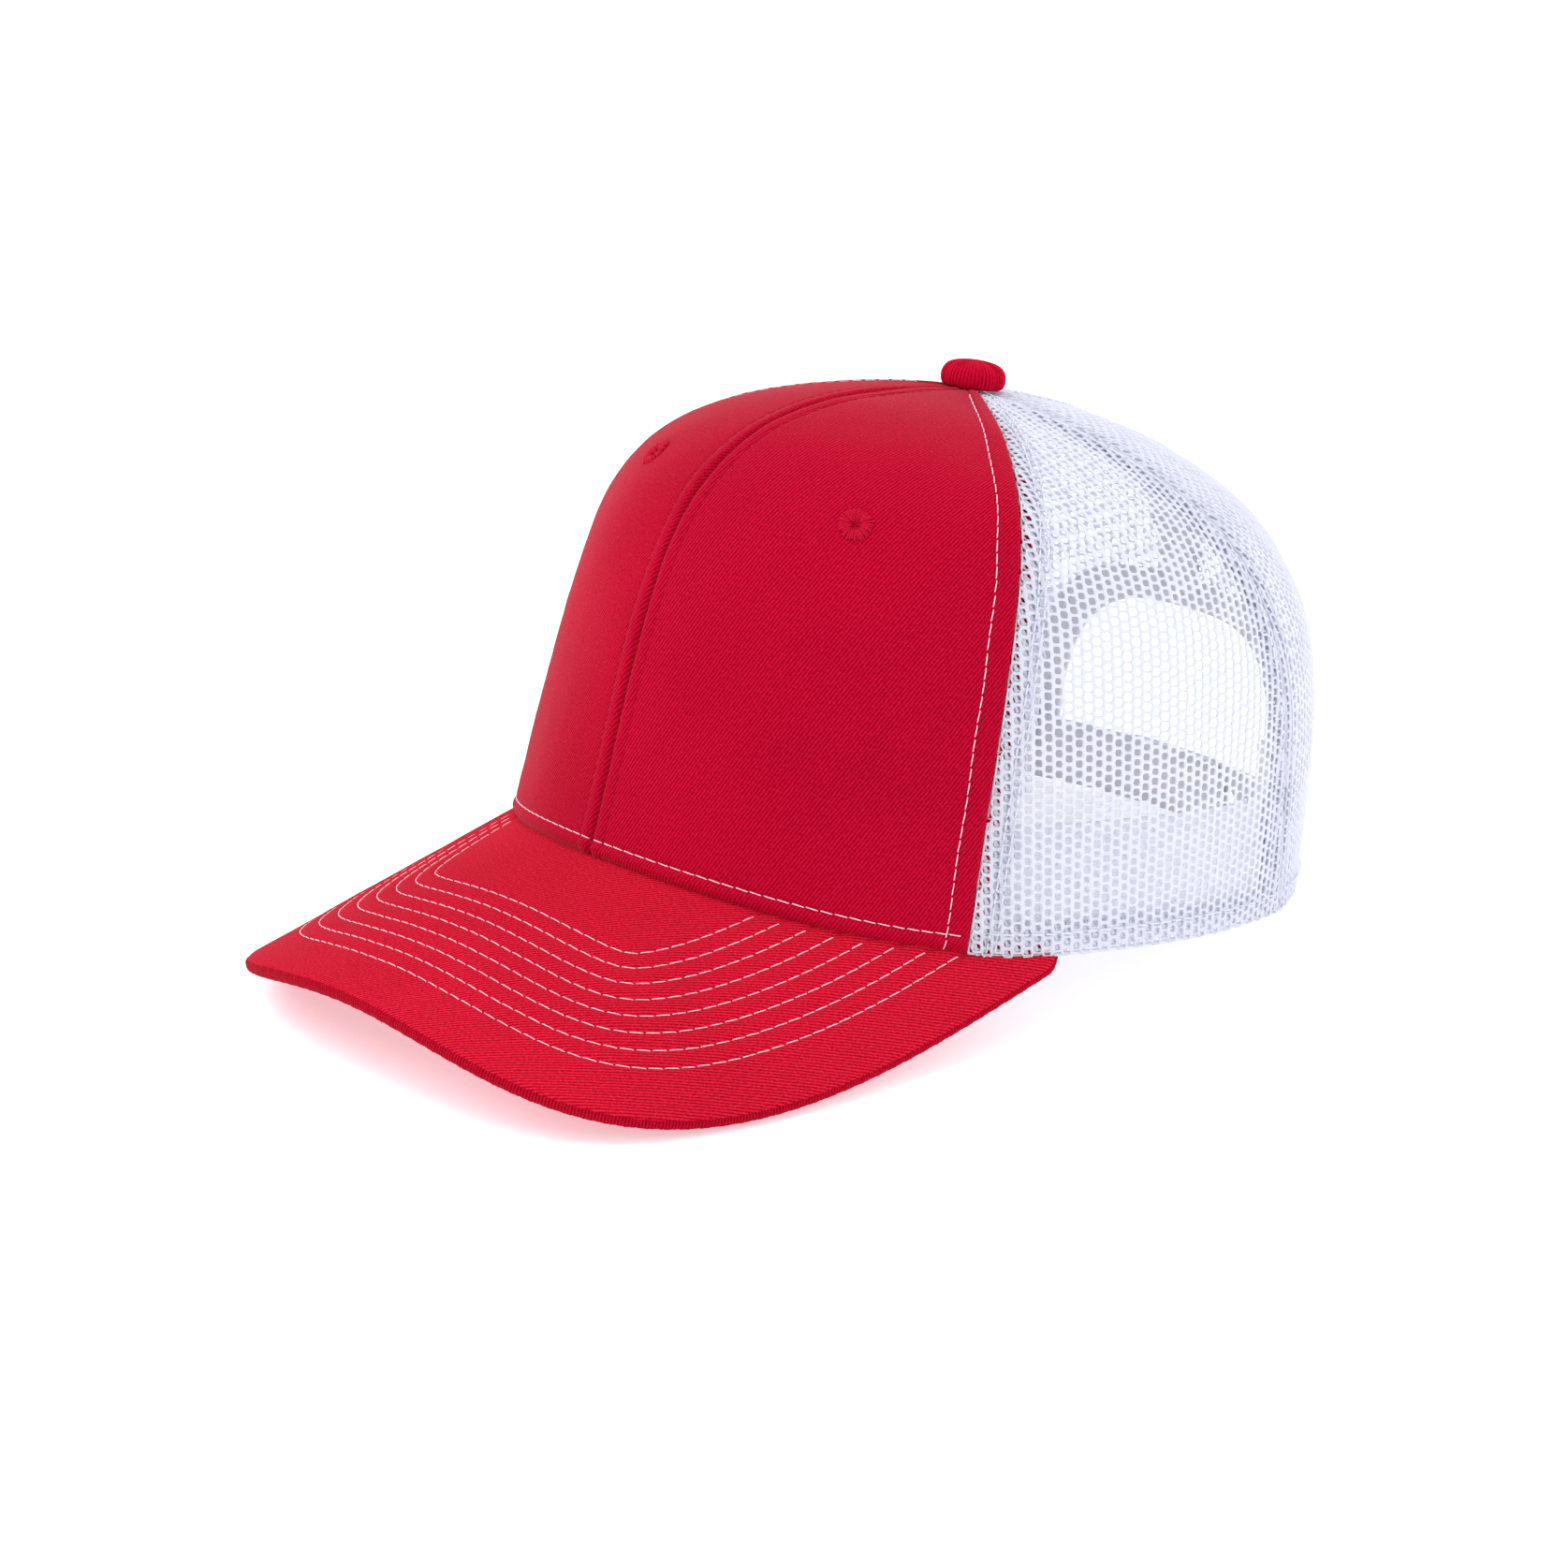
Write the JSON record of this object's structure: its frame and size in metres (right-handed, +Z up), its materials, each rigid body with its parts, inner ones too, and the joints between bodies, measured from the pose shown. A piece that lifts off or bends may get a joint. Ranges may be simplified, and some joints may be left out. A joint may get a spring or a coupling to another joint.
{
  "type": "trucker mesh cap",
  "caption": "Structured trucker cap with solid front panels, net sides and back, a curved stitched visor and a snap strap in the back opening.",
  "frame": {"origin": "bottom centre of the cap's box, on the surface that the visor's corners and the back hem rest on", "axes": "+Y runs from the visor to the back opening, +X to the wearer's left, +Z up"},
  "size_m": [0.1784, 0.2652, 0.1307],
  "materials": {
    "red_twill": "fine cotton twill, matt, diagonal rib",
    "red_visor_cloth": "fine cotton twill, matt, ribs running across",
    "red_button_cloth": "ribbed cotton stretched over a metal shell",
    "red_thread": "embroidery thread, slight sheen",
    "white_mesh": "open knitted polyester net, slight sheen",
    "white_tape": "plain white cotton tape and thread",
    "sweatband_cloth": "soft brushed white cotton",
    "buckram": "stiff open-weave buckram",
    "visor_plastic": "moulded polyethylene sheet",
    "strap_plastic": "soft translucent white plastic, satin",
    "button_metal": "pressed plated steel"
  },
  "bodies": {
    "cap": {"front_panel_left": "red_twill", "front_panel_right": "red_twill", "buckram_left": "buckram", "buckram_right": "buckram", "side_mesh_left": "white_mesh", "side_mesh_right": "white_mesh", "back_mesh_left": "white_mesh", "back_mesh_right": "white_mesh", "centre_front_tape": "white_tape", "front_seam_tape_left": "white_tape", "front_seam_tape_right": "white_tape", "side_seam_tape_left": "white_tape", "side_seam_tape_right": "white_tape", "centre_back_tape": "white_tape", "sweatband": "sweatband_cloth", "back_opening_binding": "white_tape", "visor_top_cover": "red_visor_cloth", "visor_board": "visor_plastic", "visor_under_cover": "red_visor_cloth", "hole_strap_tab": "strap_plastic", "peg_strap_tab": "strap_plastic", "button_cover": "red_button_cloth", "button_core": "button_metal", "button_rivet": "button_metal", "eyelet_left": "red_thread", "eyelet_right": "red_thread"},
    "hole_strap": {"hole_strap": "strap_plastic"},
    "peg_strap": {"peg_strap": "strap_plastic"}
  },
  "joints": [
    {"name": "hole_strap_hinge", "type": "hinge", "parent": "cap", "child": "hole_strap", "pos_m": [0.0352, 0.12141, 0.00144], "axis": [0, -0.0621, -0.9981], "range_deg": [0, 75], "stiffness_Nm_per_rad": 0.004},
    {"name": "peg_strap_hinge", "type": "hinge", "parent": "cap", "child": "peg_strap", "pos_m": [-0.0352, 0.11972, 0.00158], "axis": [0, -0.0631, -0.998], "range_deg": [0, 30], "stiffness_Nm_per_rad": 0.004}
  ]
}
